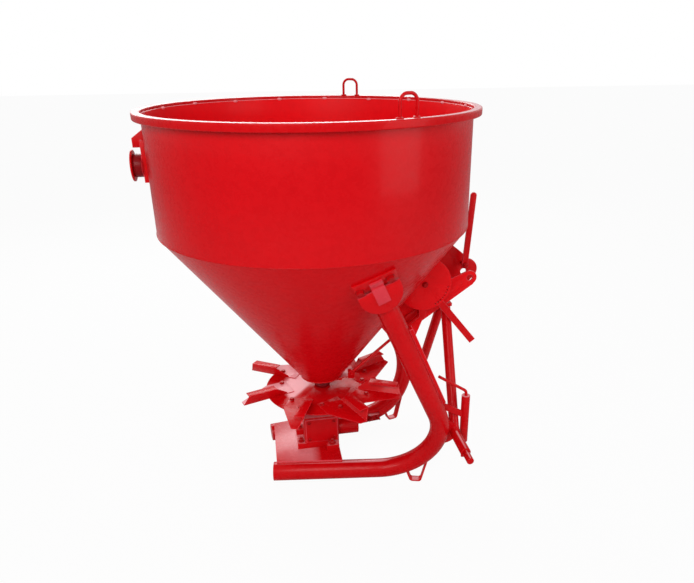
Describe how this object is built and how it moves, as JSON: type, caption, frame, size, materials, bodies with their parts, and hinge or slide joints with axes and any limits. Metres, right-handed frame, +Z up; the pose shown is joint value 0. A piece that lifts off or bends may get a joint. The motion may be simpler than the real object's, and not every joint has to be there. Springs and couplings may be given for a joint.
{
  "type": "mounted fertilizer spreader",
  "caption": "Tractor-mounted single-disc fertilizer spreader: round hopper on a cone, bent tube frame, vaned spinner on a gearbox and a three-point headstock.",
  "frame": {"origin": "middle of the object's box, on the floor that it stands on", "axes": "+Z up, +X towards the tractor (the headstock side), +Y to the left of travel"},
  "size_m": [1.3, 1.2, 1.564],
  "materials": {
    "red_enamel": "glossy enamel",
    "bare_steel": "turned"
  },
  "bodies": {
    "frame": {"hopper_shell": "red_enamel", "hopper_cone": "red_enamel", "hopper_rim": "red_enamel", "lifting_lug_left": "red_enamel", "lifting_lug_right": "red_enamel", "outlet_plate": "red_enamel", "gate_guides": "red_enamel", "side_tube_left": "red_enamel", "side_tube_right": "red_enamel", "tube_rib_left": "red_enamel", "tube_rib_right": "red_enamel", "frame_bracket_left": "red_enamel", "frame_bracket_right": "red_enamel", "base_plate": "red_enamel", "gearbox_housing": "red_enamel", "gearbox_cover": "red_enamel", "input_guard": "red_enamel", "rest_loop_left": "red_enamel", "rest_loop_right": "red_enamel", "headstock_leg_left": "red_enamel", "headstock_leg_right": "red_enamel", "lower_hitch_pin_left": "red_enamel", "lower_hitch_pin_right": "red_enamel", "hitch_gusset_left": "red_enamel", "hitch_gusset_right": "red_enamel", "quadrant_plate": "red_enamel", "hitch_plate_left": "red_enamel", "hitch_plate_right": "red_enamel", "hitch_spacer": "red_enamel", "lever_bolt": "red_enamel", "control_lever": "red_enamel", "control_bolt": "red_enamel", "latch_sleeve": "red_enamel", "latch_rod": "red_enamel", "marker_bracket": "red_enamel", "rear_marker": "red_enamel"},
    "spinner": {"spinner_spindle": "bare_steel", "spinner_disc": "red_enamel", "spinner_vanes": "red_enamel", "agitator": "red_enamel"},
    "input_drive": {"input_shaft": "bare_steel"},
    "dosage_control": {"dosage_lever": "red_enamel"},
    "gate_rod": {"shutter_rod": "red_enamel"},
    "gate": {"shutter_gate": "red_enamel"}
  },
  "joints": [
    {"name": "spinner_turn", "type": "hinge", "parent": "frame", "child": "spinner", "pos_m": [-0.023, 0, 0.364], "axis": [0, 0, 1], "continuous": true},
    {"name": "input_turn", "type": "hinge", "parent": "frame", "child": "input_drive", "pos_m": [0.034, 0, 0.148], "axis": [1, 0, 0], "continuous": true},
    {"name": "dosage_lever_turn", "type": "hinge", "parent": "frame", "child": "dosage_control", "pos_m": [0.391, -0.08, 0.818], "axis": [0, -1, 0], "range_deg": [0, 18]},
    {"name": "gate_rod_turn", "type": "hinge", "parent": "dosage_control", "child": "gate_rod", "pos_m": [0.38632, -0.066, 0.68408], "axis": [0, -1, 0], "range_deg": [-17.5, 0]},
    {"name": "gate_slide", "type": "slide", "parent": "frame", "child": "gate", "axis": [1, 0, 0], "range_m": [0, 0.04552]}
  ],
  "couplings": [
    {"joint": "input_turn", "follows": "spinner_turn", "ratio": -0.7273},
    {"joint": "gate_rod_turn", "follows": "dosage_lever_turn", "ratio": -0.9558},
    {"joint": "gate_slide", "follows": "dosage_lever_turn", "m_per_rad": 0.14427}
  ]
}
